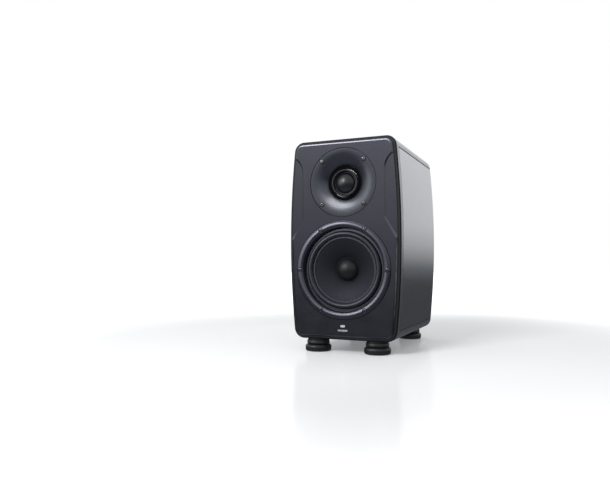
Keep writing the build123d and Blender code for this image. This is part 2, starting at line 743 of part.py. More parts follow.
def power_rocker():
    """A rocker cap on a cross pin, at rest with its upper end pressed in."""
    half, low, mid, high, width = 8.2, -4.5, 3.6, 5.6, 10.2
    face = closed(
        Line((-half, high), (0, mid)),
        Line((0, mid), (half, high)),
        Line((half, high), (half, 0)),
        ThreePointArc((half, 0), (0, low), (-half, 0)),
        Line((-half, 0), (-half, high)),
    )
    side = Plane(origin=(width / 2, 0, 0), x_dir=(0, 0, 1), z_dir=(-1, 0, 0))
    cap = extrude(side * face, amount=width)
    cap += Rot(0, 90, 0) * Cylinder(1.2, 11.6)
    x, h = ROCKER
    return at(x, ROCKER_PIVOT_DEPTH, h) * (Rot(ROCKER_TILT, 0, 0) * cap)


JACK_RADIUS, JACK_LENGTH = 3.25, 26.0


def combo_socket():
    """A combined three-pin and jack socket: flange, round body, ring groove and centre bore."""
    x, h = COMBO
    body = rod(11.6, REAR - 26, REAR + 1, x, h)
    body += block(26.0, 31.0, REAR, REAR + 1.8, x, h, 3.0)
    body += rod(11.0, REAR, REAR + 3.0, x, h)
    body -= tube(8.3, 9.9, REAR - 10, REAR + 4, x, h)
    body -= rod(JACK_RADIUS, REAR + 3.0 - JACK_LENGTH, REAR + 4, x, h)
    for px, ph in ring_points(3, 5.9, 90):
        body -= rod(1.2, REAR - 8, REAR + 4, x + px, h + ph)
    for sign in (-1, 1):
        body -= rod(1.7, REAR - 1, REAR + 4, x + sign * 9.6, h + sign * 12.2)
    return body


def usb_socket():
    """A square data socket: metal shell, closed back and a tongue inside."""
    x, h = USB
    shell = block(12.0, 10.8, REAR - 16, REAR + 0.8, x, h, 0.6)
    shell -= block(10.8, 9.6, REAR - 13, REAR + 2, x, h, 0.4)
    return shell + block(5.4, 3.0, REAR - 14, REAR - 3, x, h, 0.3)


SHAFT_RADIUS = 3.0


def level_pot():
    """A rotary control's body and threaded bushing, with its nut."""
    x, h = KNOB
    body = block(16.0, 16.0, REAR - 19, REAR - 8, x, h, 1.0)
    body += rod(3.9, REAR - 8.5, REAR + 2.2, x, h)
    body += slab(RegularPolygon(5.8, 6), REAR, REAR + 1.6, x, h)
    return body - rod(SHAFT_RADIUS + 0.06, REAR - 14, REAR + 3, x, h)


def level_shaft():
    x, h = KNOB
    return rod(SHAFT_RADIUS, REAR - 13, REAR + 12, x, h)


def level_knob():
    """A ribbed knob with a pointer groove on its end."""
    x, h = KNOB
    start, radius = REAR + 2.6, 8.0
    knob = rod(radius, start, KNOB_END, x, h)
    knob = chamfer(rear_edges(knob), 0.8)
    ribs = 18
    for px, ph in ring_points(ribs, radius + 0.35):
        knob -= rod(0.8, start + 3.0, KNOB_END + 1, x + px, h + ph)
    knob -= rod(SHAFT_RADIUS + 0.05, start - 1, REAR + 12.1, x, h)
    knob -= rod(6.4, start - 1, start + 2.0, x, h)
    return knob - block(1.0, 5.0, KNOB_END - 0.6, KNOB_END + 1, x, h + 5.0)


def calibrate_button():
    x, h = BUTTON
    cap = rod(3.5, REAR - 11.8, REAR + 3.4, x, h)
    cap = chamfer(rear_edges(cap), 0.4)
    return cap + rod(4.6, REAR - 5.2, REAR - 2.9, x, h)


def calibrate_switch():
    """A small push switch on a post that stands on the board."""
    x, h = BUTTON
    base = block(7.2, 7.2, REAR - 17, REAR - 13.2, x, h, 0.4)
    post = block(5.0, 5.0, BOARD_FRONT + BOARD_THICKNESS, REAR - 17, x, h)
    return base + post


def slide_switch_housings():
    made = []
    for x in SWITCH_XS:
        body = block(13.0, 7.0, REAR - 10, PLATE_INNER, x, SWITCH_H, 0.6)
        body -= block(9.6, 3.8, REAR - 7.5, REAR, x, SWITCH_H, 0.4)
        made.append(body)
    return group(made)


def slider(x):
    knob = block(4.0, 3.2, REAR - 7.0, REAR + 1.4, x, SWITCH_H, 0.3)
    groove = block(0.6, 4.0, REAR + 0.9, REAR + 2, x, SWITCH_H)
    return knob - groove


# ---------------------------------------------------------------- electronics
def main_board():
    board = block(106.0, 114.0, BOARD_FRONT, BOARD_FRONT + BOARD_THICKNESS, 0, 112.0, 2.0)
    for x, h in STANDOFFS:
        board -= rod(1.6, BOARD_FRONT - 1, BOARD_FRONT + 4, x, h)
    return board


def board_standoffs():
    """Hexagonal posts between the board and the rear plate, with a screw at each end."""
    made = []
    for x, h in STANDOFFS:
        post = slab(RegularPolygon(2.9, 6), BOARD_FRONT + BOARD_THICKNESS, PLATE_INNER, x, h)
        post += rod(1.5, BOARD_FRONT - 0.5, REAR + 0.5, x, h)
        post += rod(2.8, BOARD_FRONT - 2.2, BOARD_FRONT, x, h)
        post += rod(2.8, REAR, REAR + 1.6, x, h)
        made.append(post)
    return group(made)


def power_transformer():
    """A ferrite core around a taped winding."""
    x, h = -26.0, 84.0
    core = block(34.0, 32.0, BOARD_FRONT - 27, BOARD_FRONT - 2, x, h, 1.0)
    core -= block(24.0, 34.0, BOARD_FRONT - 21, BOARD_FRONT - 8, x, h)
    winding = block(23.6, 30.0, BOARD_FRONT - 20.8, BOARD_FRONT - 8.2, x, h, 2.0)
    base = block(36.0, 34.0, BOARD_FRONT - 2, BOARD_FRONT, x, h)
    return group([core, winding, base])


def filter_capacitors():
    made = []
    for x, h, radius, height in ((12.0, 78.0, 9.0, 30.0), (34.0, 78.0, 9.0, 30.0), (-38.0, 140.0, 5.0, 16.0)):
        can = rod(radius, BOARD_FRONT - height, BOARD_FRONT, x, h)
        made.append(fillet(front_edges(can), 1.0))
    return group(made)


def heatsink():
    """A comb of fins over the output stage."""
    x, h, width = 12.0, 126.0, 64.0
    sink = block(width, 30.0, BOARD_FRONT - 6.0, BOARD_FRONT - 2.2, x, h)
    fins = 9
    pitch = (width - 2.0) / (fins - 1)
    for i in range(fins):
        sink += block(2.0, 30.0, BOARD_FRONT - 24, BOARD_FRONT - 5.0, x - width / 2 + 1 + pitch * i, h)
    return sink


# ---------------------------------------------------------------- leads, lining and feet
def lead(points, radius):
    """A round lead along straight runs joined by arcs that are as large as the runs allow."""
    radii = []
    for a, b, c in zip(points, points[1:], points[2:]):
        u, v = Vector(*b) - Vector(*a), Vector(*c) - Vector(*b)
        turn = radians(u.get_angle(v))
        radii.append(0.45 * min(u.length, v.length) / tan(turn / 2))
    path = FilletPolyline(*points, radius=radii)
    section = Plane(origin=path @ 0, z_dir=path % 0) * Circle(radius)
    return sweep(section, path=path)


def along(points):
    """Route points from x, depth, height to the model's own axes."""
    return [(x, FRONT_Y + d, FOOT_HEIGHT + h) for x, d, h in points]


LEAD_RADIUS = 0.9


def woofer_leads():
    made = []
    for side in (-1, 1):
        tag = 6.0 * side
        offset_x = 2.2 * side
        made.append(
            lead(
                along(
                    [
                        (tag, TERMINAL_DEPTH + 1.8, TERMINAL_H - 7.0),
                        (tag, TERMINAL_DEPTH + 14.0, TERMINAL_H - 8.0),
                        (tag * 0.8 - 6.0, 62.0, TERMINAL_H - 13.0),
                        (offset_x - 18.0, 100.0, TERMINAL_H - 14.0),
                        (offset_x - 34.0, 136.0, TERMINAL_H - 8.0),
                        (offset_x - 42.0, 166.0, TERMINAL_H + 10.0),
                        (offset_x - 42.5, 190.0, TERMINAL_H + 21.0),
                    ]
                ),
                LEAD_RADIUS,
            )
        )
    return group(made)


def tweeter_leads():
    made = []
    for i, tag in enumerate((TWEETER_TAG_X - 8, TWEETER_TAG_X)):
        shift = 3.2 * i
        made.append(
            lead(
                along(
                    [
                        (tag, 20.0, TWEETER_HEIGHT - 39.5),
                        (tag, 32.0, TWEETER_HEIGHT - 41.0),
                        (tag + 6.0, 54.0, TWEETER_HEIGHT - 46.0),
                        (34.0 + shift, 92.0, TWEETER_HEIGHT - 54.0),
                        (42.0 + shift, 130.0, TWEETER_HEIGHT - 66.0),
                        (44.0 + shift, 164.0, TWEETER_HEIGHT - 80.0),
                        (43.0 + shift, 190.0, TWEETER_HEIGHT - 84.0),
                    ]
                ),
                LEAD_RADIUS,
            )
        )
    return group(made)


def foam_lining():
    """Acoustic foam on both side walls and under the top."""
    thickness, start, end = 8.0, 26.0, 205.0
    space = slab(outline(WALL), start, end) - slab(outline(WALL + thickness), start - 1, end + 1)
    sides = [
        largest(space & (at(side * 70, (start + end) / 2, 148) * Box(60, end - start + 2, 214)))
        for side in (-1, 1)
    ]
    top = largest(space & (at(0, (start + end) / 2, 276) * Box(96, end - start + 2, 30)))
    return group([*sides, top])


FOOT_SEAM = 10.2
BOLT_HEAD_TOP = 6.4


def foot_cups():
    """The upper halves of the feet: hard cups under the cabinet."""
    bore = FOOT_BOLT_RADIUS + CLEARANCE
    face = closed(
        Line((bore, FOOT_SEAM), (15.4, FOOT_SEAM)),
        ThreePointArc((15.4, FOOT_SEAM), (16.5, FOOT_SEAM + 1.3), (16.7, FOOT_SEAM + 3.2)),
        Line((16.7, FOOT_SEAM + 3.2), (16.2, FOOT_SEAM + 5.8)),
        Line((16.2, FOOT_SEAM + 5.8), (15.2, FOOT_SEAM + 6.8)),
        Line((15.2, FOOT_SEAM + 6.8), (15.2, FOOT_HEIGHT)),
        Line((15.2, FOOT_HEIGHT), (bore, FOOT_HEIGHT)),
        Line((bore, FOOT_HEIGHT), (bore, FOOT_SEAM)),
    )
    one = revolve(Plane.XZ * face, axis=Axis.Z)
    return group([Pos(x, FRONT_Y + d, 0) * one for x, d in foot_places()])


def foot_pads():
    """The lower halves: soft rubber rings with a flat sole and a pocket for the bolt's head."""
    pocket, bore = 6.2, FOOT_BOLT_RADIUS + CLEARANCE
    face = closed(
        Line((pocket, 0), (16.2, 0)),
        ThreePointArc((16.2, 0), (18.2, 0.8), (19.0, 2.8)),
        Line((19.0, 2.8), (19.2, 6.2)),
        ThreePointArc((19.2, 6.2), (18.4, 8.6), (15.6, FOOT_SEAM)),
        Line((15.6, FOOT_SEAM), (bore, FOOT_SEAM)),
        Line((bore, FOOT_SEAM), (bore, BOLT_HEAD_TOP)),
        Line((bore, BOLT_HEAD_TOP), (pocket, BOLT_HEAD_TOP)),
        Line((pocket, BOLT_HEAD_TOP), (pocket, 0)),
    )
    one = revolve(Plane.XZ * face, axis=Axis.Z)
    return group([Pos(x, FRONT_Y + d, 0) * one for x, d in foot_places()])


def foot_bolts():
    """Bolts that hold each foot up against the cabinet's floor, heads down."""
    length = FOOT_HEIGHT - BOLT_HEAD_TOP + WALL - 1.0
    one = Rot(180, 0, 0) * screw(5.2, 3.6, FOOT_BOLT_RADIUS, length, 2.4)
    return group([Pos(x, FRONT_Y + d, BOLT_HEAD_TOP) * one for x, d in foot_places()])


# ---------------------------------------------------------------- build
def build():
    os.makedirs(OUT, exist_ok=True)
    body = cabinet_body()
    save("cabinet_shell", cabinet_shell(body))
    save("side_panel_left", side_panel(body, -1))
    save("side_panel_right", side_panel(body, 1))
    save("front_rim", front_rim())
    save("front_baffle", front_baffle())
    save("front_badge", inlay(BADGE_SIZE, BADGE_HEIGHT, 0.3))
    save("status_light", inlay(LIGHT_SIZE, LIGHT_HEIGHT, 0.1))

    save("woofer_trim_ring", woofer_trim_ring())
    save("woofer_screws", woofer_screws())
    save("woofer_surround", woofer_surround())
    save("woofer_cone", woofer_cone())
    save("woofer_dust_cap", woofer_dust_cap())
    save("woofer_voice_coil", woofer_voice_coil())
    save("woofer_spider", woofer_spider())
    save("woofer_basket", woofer_basket())
    save("woofer_gasket", woofer_gasket())
    save("woofer_top_plate", tube(GAP_RADIUS, 38.0, BASKET_FLOOR, TOP_PLATE_BACK, 0, WOOFER_HEIGHT))
    save("woofer_magnet", tube(20.0, 41.0, TOP_PLATE_BACK, MAGNET_BACK, 0, WOOFER_HEIGHT))
    save("woofer_yoke", woofer_yoke())
    save("woofer_terminals", woofer_terminals())

    plate, tags = tweeter_front_plate()
    save("tweeter_waveguide", tweeter_waveguide())
    save("tweeter_screws", tweeter_screws())
    save("tweeter_retaining_ring", tweeter_retaining_ring())
    save("tweeter_throat_pad", tube(20.6, 25.3, 11.9, MOTOR_FRONT, 0, TWEETER_HEIGHT))
    save("tweeter_dome", tweeter_dome())
    save("tweeter_surround", tweeter_surround())
    save("tweeter_voice_coil", tube(14.0, 14.5, DOME_EDGE, 21.0, 0, TWEETER_HEIGHT))
    save("tweeter_front_plate", group([plate, *tags]))
    save("tweeter_magnet", tube(18.0, 34.0, TWEETER_PLATE_BACK, TWEETER_MAGNET_BACK, 0, TWEETER_HEIGHT))
    save("tweeter_yoke", tweeter_yoke())

    save("port_tube", port_tube())
    save("amp_plate", amp_plate())
    save("amp_plate_gasket", amp_plate_gasket())
    save("amp_plate_screws", amp_plate_screws())
    inlet, pins = power_inlet_pins(power_inlet())
    save("power_inlet", inlet)
    save("power_inlet_pins", pins)
    save("power_switch_housing", power_switch_housing())
    save("power_rocker", power_rocker())
    save("combo_socket", combo_socket())
    save("usb_socket", usb_socket())
    save("level_pot", level_pot())
    save("level_shaft", level_shaft())
    save("level_knob", level_knob())
    save("calibrate_button", calibrate_button())
    save("calibrate_switch", calibrate_switch())
    save("slide_switch_housings", slide_switch_housings())
    for name, x in zip(("bass_slider", "desk_slider", "treble_slider"), SWITCH_XS):
        save(name, slider(x))

    save("main_board", main_board())
    save("board_standoffs", board_standoffs())
    save("power_transformer", power_transformer())
    save("filter_capacitors", filter_capacitors())
    save("heatsink", heatsink())
    save("woofer_leads", woofer_leads())
    save("tweeter_leads", tweeter_leads())
    save("foam_lining", foam_lining())

    save("foot_cups", foot_cups())
    save("foot_pads", foot_pads())
    save("foot_bolts", foot_bolts())


build()
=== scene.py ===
"""The looks of the bookshelf speaker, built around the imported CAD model. Metres, same frame."""

import json
from math import cos, pi, radians, sin, sqrt

import bmesh
import bpy
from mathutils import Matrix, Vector

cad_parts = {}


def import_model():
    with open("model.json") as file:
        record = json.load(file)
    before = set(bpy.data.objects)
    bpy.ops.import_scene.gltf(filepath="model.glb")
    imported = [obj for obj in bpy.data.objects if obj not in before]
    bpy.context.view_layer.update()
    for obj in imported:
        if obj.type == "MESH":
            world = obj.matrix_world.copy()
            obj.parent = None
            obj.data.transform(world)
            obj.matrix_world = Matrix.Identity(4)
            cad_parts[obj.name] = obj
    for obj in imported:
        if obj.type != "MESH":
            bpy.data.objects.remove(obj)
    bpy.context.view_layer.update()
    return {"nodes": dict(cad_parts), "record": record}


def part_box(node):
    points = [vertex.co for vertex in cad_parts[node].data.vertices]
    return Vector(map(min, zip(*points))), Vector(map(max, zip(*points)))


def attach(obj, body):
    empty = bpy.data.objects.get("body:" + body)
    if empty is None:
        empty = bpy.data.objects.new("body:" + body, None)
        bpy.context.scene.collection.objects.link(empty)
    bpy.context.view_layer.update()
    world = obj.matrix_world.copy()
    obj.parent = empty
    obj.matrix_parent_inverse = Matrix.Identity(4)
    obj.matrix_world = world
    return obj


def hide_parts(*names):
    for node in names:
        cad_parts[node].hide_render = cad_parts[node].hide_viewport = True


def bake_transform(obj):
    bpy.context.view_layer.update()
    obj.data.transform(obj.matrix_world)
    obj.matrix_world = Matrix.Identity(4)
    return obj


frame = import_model()
nodes = frame["nodes"]
MM = 0.001


# ---------------------------------------------------------------- places, from the CAD nodes
def centre(node):
    """The middle of a CAD node's box."""
    low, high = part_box(node)
    return (low + high) / 2


FRONT_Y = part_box("front_baffle")[0].y
REAR_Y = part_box("amp_plate")[1].y
FLOOR_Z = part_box("foot_pads")[0].z
CABINET_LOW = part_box("cabinet_shell")[0].z
CABINET_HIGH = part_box("cabinet_shell")[1].z
HALF_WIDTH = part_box("cabinet_shell")[1].x
HALF_HEIGHT = (CABINET_HIGH - CABINET_LOW) / 2
MIDDLE_Z = (CABINET_LOW + CABINET_HIGH) / 2
WOOFER = Vector((0, FRONT_Y, centre("woofer_surround").z))
TWEETER = Vector((0, FRONT_Y, centre("tweeter_dome").z))
SUBJECT = Vector((0, FRONT_Y, MIDDLE_Z))
BOW, WALL = 8.0 * MM, 9.0 * MM


def side_x(z):
    """Half the cabinet's width at a height: the sides bow outwards, most at the middle."""
    return HALF_WIDTH - BOW * ((z - MIDDLE_Z) / HALF_HEIGHT) ** 2


# ---------------------------------------------------------------- material helpers
class Nodes:
    """A material's node tree, with short calls for the nodes that the finishes here share."""

    INPUTS = {
        "metallic": "Metallic",
        "specular": "Specular IOR Level",
        "specular_tint": "Specular Tint",
        "coat": "Coat Weight",
        "coat_roughness": "Coat Roughness",
        "sheen": "Sheen Weight",
        "ior": "IOR",
        "glow": "Emission Strength",
    }

    def __init__(self, name):
        self.material = bpy.data.materials.new(name)
        self.material.use_nodes = True
        self.tree = self.material.node_tree
        self.shader = self.tree.nodes["Principled BSDF"]
        self.point = self.add("ShaderNodeTexCoord").outputs["Object"]

    def add(self, kind, **settings):
        node = self.tree.nodes.new(kind)
        for key, value in settings.items():
            setattr(node, key, value)
        return node

    def link(self, output, socket):
        self.tree.links.new(output, socket)

    def noise(self, scale, detail=3.0, roughness=0.55, stretch=None):
        """Noise over the object's own space, finer along an axis where the stretch is over 1."""
        node = self.add("ShaderNodeTexNoise")
        node.inputs["Scale"].default_value = scale
        node.inputs["Detail"].default_value = detail
        node.inputs["Roughness"].default_value = roughness
        place = self.point
        if stretch:
            mapping = self.add("ShaderNodeMapping")
            mapping.inputs["Scale"].default_value = stretch
            self.link(self.point, mapping.inputs["Vector"])
            place = mapping.outputs["Vector"]
        self.link(place, node.inputs["Vector"])
        return node.outputs["Fac"]

    def ramp(self, source, *stops):
        """A colour that runs through (position, colour) stops as the source goes from 0 to 1."""
        node = self.add("ShaderNodeValToRGB")
        ramp = node.color_ramp
        while len(ramp.elements) < len(stops):
            ramp.elements.new(0.5)
        for element, (position, colour) in zip(ramp.elements, stops):
            element.position = position
            element.color = (*colour, 1)
        self.link(source, node.inputs["Fac"])
        return node.outputs["Color"]

    def spread(self, source, low, high):
        """A noise's usual range, 0.25 to 0.75, spread over low to high."""
        node = self.add("ShaderNodeMapRange")
        node.inputs["From Min"].default_value = 0.25
        node.inputs["From Max"].default_value = 0.75
        node.inputs["To Min"].default_value = low
        node.inputs["To Max"].default_value = high
        self.link(source, node.inputs["Value"])
        return node.outputs["Result"]

    def bump(self, height, distance):
        """Surface relief from a height output, up to a distance in metres."""
        node = self.add("ShaderNodeBump")
        node.inputs["Distance"].default_value = distance
        self.link(height, node.inputs["Height"])
        return node.outputs["Normal"]

    def set(self, **values):
        """Values that are the same all over the surface, on the shader's own inputs."""
        for key, value in values.items():
            self.shader.inputs[self.INPUTS[key]].default_value = value

    def colour(self, output):
        self.link(output, self.shader.inputs["Base Color"])

    def roughness(self, output):
        self.link(output, self.shader.inputs["Roughness"])

    def normal(self, output):
        self.link(output, self.shader.inputs["Normal"])


def tint(colour, factor):
    """A colour made lighter or darker by a factor."""
    return tuple(min(1.0, c * factor) for c in colour)


# ---------------------------------------------------------------- finishes
def moulded(name, colour, rough, grain=1800.0, depth=0.02, vary=0.12, **values):
    """Moulded plastic or paint: fine grain in the surface, slow drift in colour and gloss."""
    n = Nodes(name)
    slow = n.noise(14.0, 2.0)
    fine = n.noise(grain, 2.0)
    n.colour(n.ramp(slow, (0.3, tint(colour, 1 - vary)), (0.7, tint(colour, 1 + vary))))
    n.roughness(n.spread(n.noise(60.0, 4.0), rough * 0.88, rough * 1.12))
    n.normal(n.bump(fine, depth * MM))
    n.set(**values)
    return n.material


def metal(name, colour, rough, stretch=(1, 1, 1), grain=900.0, depth=0.01, **values):
    """Bare or plated metal, with brushed or cast grain."""
    n = Nodes(name)
    grainy = n.noise(grain, 3.0, 0.6, stretch)
    n.colour(n.ramp(n.noise(35.0), (0.3, tint(colour, 0.88)), (0.7, tint(colour, 1.1))))
    n.roughness(n.spread(grainy, rough * 0.75, rough * 1.25))
    n.normal(n.bump(grainy, depth * MM))
    n.set(metallic=1.0, **values)
    return n.material


def rubber(name, colour, rough, **values):
    """Moulded rubber: a powdery grain and an uneven, dull gloss."""
    n = Nodes(name)
    n.colour(n.ramp(n.noise(25.0), (0.3, tint(colour, 0.85)), (0.7, tint(colour, 1.2))))
    n.roughness(n.spread(n.noise(220.0), rough * 0.85, rough * 1.1))
    n.normal(n.bump(n.noise(2600.0, 2.0), 0.015 * MM))
    n.set(**values)
    return n.material


def woven(name, colour, pitch, depth):
    """Impregnated cloth: two crossed sets of threads, about a pitch apart."""
    n = Nodes(name)
    band = 0.3183  # roughly the distance between the bands of a wave texture at scale 1
    waves = []
    for direction in ("X", "Z"):
        wave = n.add("ShaderNodeTexWave", bands_direction=direction)
        wave.inputs["Scale"].default_value = band / pitch
        wave.inputs["Distortion"].default_value = 0.4
        n.link(n.point, wave.inputs["Vector"])
        waves.append(wave.outputs["Fac"])
    both = n.add("ShaderNodeMath", operation="MULTIPLY")
    n.link(waves[0], both.inputs[0])
    n.link(waves[1], both.inputs[1])
    cloth = both.outputs["Value"]
    n.colour(n.ramp(cloth, (0.0, tint(colour, 0.6)), (0.8, tint(colour, 1.1))))
    n.roughness(n.spread(n.noise(300.0), 0.75, 0.95))
    n.normal(n.bump(cloth, depth))
    n.set(sheen=0.2)
    return n.material


def side_gloss():
    """A lacquered graphite panel with a faint metallic flake under the clear coat."""
    n = Nodes("side_gloss")
    flake = n.noise(5200.0, 1.0)
    n.colour(n.ramp(flake, (0.3, (0.305, 0.303, 0.325)), (0.7, (0.425, 0.423, 0.448))))
    n.roughness(n.spread(n.noise(90.0), 0.16, 0.21))
    n.set(metallic=0.85, coat=0.5, coat_roughness=0.06)
    return n.material


def paper_cone():
    """A pressed fibre cone: fine pulp grain and a satin skin."""
    n = Nodes("paper_cone")
    fibre = n.noise(1500.0, 6.0, 0.7)
    n.colour(n.ramp(fibre, (0.3, (0.010, 0.010, 0.0135)), (0.7, (0.018, 0.018, 0.025))))
    n.roughness(n.spread(n.noise(400.0), 0.48, 0.62))
    n.normal(n.bump(fibre, 0.03 * MM))
    n.set(specular=0.3, specular_tint=BLUISH)
    return n.material


def rim_plastic_painted_highlight():
    """Black plastic with a painted highlight: its specular level is raised on the faces that look forward,
    and kept low round the corner as painted shade.
    """
    n = Nodes("rim_black")
    facing = n.add("ShaderNodeSeparateXYZ")
    n.link(n.add("ShaderNodeTexCoord").outputs["Normal"], facing.inputs["Vector"])
    # painted highlight: the specular level runs from 0.12 to 0.9 as the normal turns forward, so the front
    # faces read bright and the rounding dark
    forward = n.add("ShaderNodeMapRange")
    forward.inputs["From Min"].default_value = -0.9
    forward.inputs["From Max"].default_value = -1.0
    forward.inputs["To Min"].default_value = 0.12
    forward.inputs["To Max"].default_value = 0.9
    n.link(facing.outputs["Y"], forward.inputs["Value"])
    n.link(forward.outputs["Result"], n.shader.inputs["Specular IOR Level"])
    n.colour(n.ramp(n.noise(14.0, 2.0), (0.3, (0.003, 0.003, 0.0035)), (0.7, (0.004, 0.004, 0.005))))
    n.roughness(n.spread(n.noise(60.0, 4.0), 0.40, 0.46))
    n.normal(n.bump(n.noise(2200.0, 2.0), 0.01 * MM))
    return n.material


def lens_glow():
    """A milky lens with a little light behind it."""
    n = Nodes("lens_glow")
    n.colour(n.ramp(n.noise(400.0), (0.3, (0.50, 0.52, 0.54)), (0.7, (0.60, 0.61, 0.62))))
    n.roughness(n.spread(n.noise(300.0), 0.2, 0.3))
    n.shader.inputs["Emission Color"].default_value = (0.9, 0.94, 1.0, 1)
    n.set(glow=0.02)
    return n.material


def board_mask():
    """Green solder mask over tracks."""
    n = Nodes("board_mask")
    mapping = n.add("ShaderNodeMapping")
    mapping.inputs["Rotation"].default_value = (radians(90), 0, 0)
    n.link(n.point, mapping.inputs["Vector"])
    tracks = n.add("ShaderNodeTexBrick")
    tracks.inputs["Scale"].default_value = 130.0
    tracks.inputs["Mortar Size"].default_value = 0.03
    tracks.inputs["Color1"].default_value = (0.010, 0.09, 0.035, 1)
    tracks.inputs["Color2"].default_value = (0.012, 0.11, 0.045, 1)
    tracks.inputs["Mortar"].default_value = (0.03, 0.19, 0.09, 1)
    n.link(mapping.outputs["Vector"], tracks.inputs["Vector"])
    n.colour(tracks.outputs["Color"])
    n.roughness(n.spread(n.noise(200.0), 0.3, 0.42))
    n.set(coat=0.3, coat_roughness=0.2)
    return n.material


def foam_cells():
    """Open acoustic foam, cells a millimetre or so across, with painted shade: each cell is darkest at its
    middle.
    """
    n = Nodes("foam_cells")
    voronoi = n.add("ShaderNodeTexVoronoi")
    voronoi.inputs["Scale"].default_value = 700.0
    n.link(n.point, voronoi.inputs["Vector"])
    cells = voronoi.outputs["Distance"]
    # painted shade: the colour darkens towards each cell's middle, where the bump sinks the surface
    n.colour(n.ramp(cells, (0.05, (0.03, 0.03, 0.032)), (0.5, (0.12, 0.12, 0.125))))
    n.roughness(n.spread(n.noise(200.0), 0.85, 1.0))
    n.normal(n.bump(cells, 0.5 * MM))
    return n.material


BLACK = (0.012, 0.012, 0.013)
# Near-black: the felt's own colour, and the colour of the painted shade in grooves and screw sockets.
FELT_AND_SHADE_BLACK = (0.003, 0.003, 0.003)
BLUISH = (0.83, 0.82, 1.0, 1)
COOL = (0.90, 0.93, 1.0, 1)

# After the name, moulded() takes a colour, roughness, grain, depth in millimetres and variation, and metal()
# takes a colour, roughness, stretch, grain and depth in millimetres.
finish = {
    "cabinet_paint": moulded("cabinet_paint", (0.24, 0.242, 0.262), 0.24, 260.0, 0.003, 0.05, metallic=0.7),
    "side_panel": side_gloss(),
    "rim_black": rim_plastic_painted_highlight(),
    "baffle": moulded(
        "baffle", (0.0012, 0.0012, 0.002), 0.30, 2600.0, 0.016, 0.06,
        specular=1.0, ior=1.58, specular_tint=BLUISH,
    ),
    "badge": metal("badge", (0.85, 0.86, 0.88), 0.35, (1, 1, 12)),
    "light_lens": lens_glow(),
    "ring": moulded(
        "ring", (0.008, 0.008, 0.012), 0.31, 2600.0, 0.004, 0.06, specular=0.85, specular_tint=BLUISH
    ),
    "screw_black": metal("screw_black", (0.14, 0.14, 0.155), 0.2),
    "rubber": rubber("surround_rubber", (0.009, 0.009, 0.012), 0.40, specular_tint=BLUISH),
    "cone": paper_cone(),
    "dust_cap": moulded("dust_cap", (0.009, 0.009, 0.011), 0.43, 2000.0, 0.01, specular=0.34),
    "copper": metal("copper_winding", (0.72, 0.33, 0.16), 0.3, (1, 60, 1), 300.0, 0.06),
    "spider_cloth": woven("spider_cloth", (0.50, 0.34, 0.14), 0.9 * MM, 0.2 * MM),
    "cast_frame": metal("cast_frame", (0.16, 0.16, 0.165), 0.5, (1, 1, 1), 700.0, 0.05),
    "gasket": rubber("gasket", BLACK, 0.8),
    "felt": moulded("felt", FELT_AND_SHADE_BLACK, 0.95, 1500.0, 0.03, specular=0.1),
    "plated_steel": metal("plated_steel", (0.56, 0.56, 0.57), 0.3),
    "ferrite": moulded("ferrite", (0.035, 0.035, 0.038), 0.55, 500.0, 0.06),
    "terminal": metal("terminal", (0.62, 0.52, 0.34), 0.3),
    "waveguide": moulded(
        "waveguide", (0.015, 0.016, 0.024), 0.36, 2600.0, 0.012, 0.06, specular=0.75, specular_tint=COOL
    ),
    "retaining_ring": moulded("retaining_ring", (0.034, 0.034, 0.040), 0.72, 2200.0, 0.01, specular=0.4),
    "dome": moulded("dome", (0.010, 0.010, 0.012), 0.32, 2400.0, 0.008),
    "port_plastic": moulded("port_plastic", BLACK, 0.45, 1600.0, 0.03),
    "amp_plate": moulded("amp_plate", (0.022, 0.022, 0.024), 0.55, 1100.0, 0.06),
    "socket_plastic": moulded("socket_plastic", BLACK, 0.5, 1500.0, 0.02),
    "pin_metal": metal("pin_metal", (0.72, 0.72, 0.70), 0.22),
    "rocker_plastic": moulded("rocker_plastic", BLACK, 0.25, 2200.0, 0.006),
    "knob_plastic": moulded("knob_plastic", (0.018, 0.018, 0.019), 0.48, 1500.0, 0.02),
    "slider_plastic": moulded("slider_plastic", (0.66, 0.66, 0.64), 0.4, 2000.0, 0.01, 0.04),
    "board": board_mask(),
    "capacitor": moulded("capacitor", (0.012, 0.018, 0.06), 0.3, 1200.0, 0.01),
    "heatsink": metal("heatsink", (0.10, 0.10, 0.11), 0.45, (1, 8, 1), 400.0, 0.03),
    "lead_red": moulded("lead_red", (0.34, 0.012, 0.012), 0.4, 1200.0, 0.02),
    "lead_black": moulded("lead_black", BLACK, 0.4, 1200.0, 0.02),
    "foam": foam_cells(),
    "print_white": moulded("print_white", (0.50, 0.50, 0.48), 0.5, 1800.0, 0.004, 0.05),
    # painted shade: a near-black, dull finish for the strips in the side panels' grooves and the screw
    # sockets
    "groove_black": moulded("groove_black", FELT_AND_SHADE_BLACK, 0.9, 1500.0, 0.02, specular=0.1),
    "foot_plastic": moulded("foot_plastic", (0.004, 0.004, 0.0045), 0.42, 1800.0, 0.01, specular=0.5),
    "foot_rubber": rubber("foot_rubber", (0.006, 0.006, 0.007), 0.45),
}
slots = {row["node"]: row["material_slot"] for row in frame["record"]["subparts"]}


def dress(obj, slot):
    """Gives an object one finish in place of any that it has."""
    obj.data.materials.clear()
    obj.data.materials.append(finish[slot])


for name, obj in nodes.items():
    dress(obj, slots[name])
dress(nodes["tweeter_throat_pad"], "felt")


# ---------------------------------------------------------------- making pieces
def mesh_object(name, vertices, faces, slot, smooth=True):
    """A new piece in a finish."""
    mesh = bpy.data.meshes.new(name)
    mesh.from_pydata([tuple(v) for v in vertices], [], faces)
    mesh.validate()
    mesh.update()
    for polygon in mesh.polygons:
        polygon.use_smooth = smooth
    obj = bpy.data.objects.new(name, mesh)
    bpy.context.scene.collection.objects.link(obj)
    dress(obj, slot)
    return obj


def face_outwards(obj):
    """Turns a closed mesh's faces so that their normals point out of it."""
    bm = bmesh.new()
    bm.from_mesh(obj.data)
    bmesh.ops.recalc_face_normals(bm, faces=bm.faces)
    bm.to_mesh(obj.data)
    bm.free()
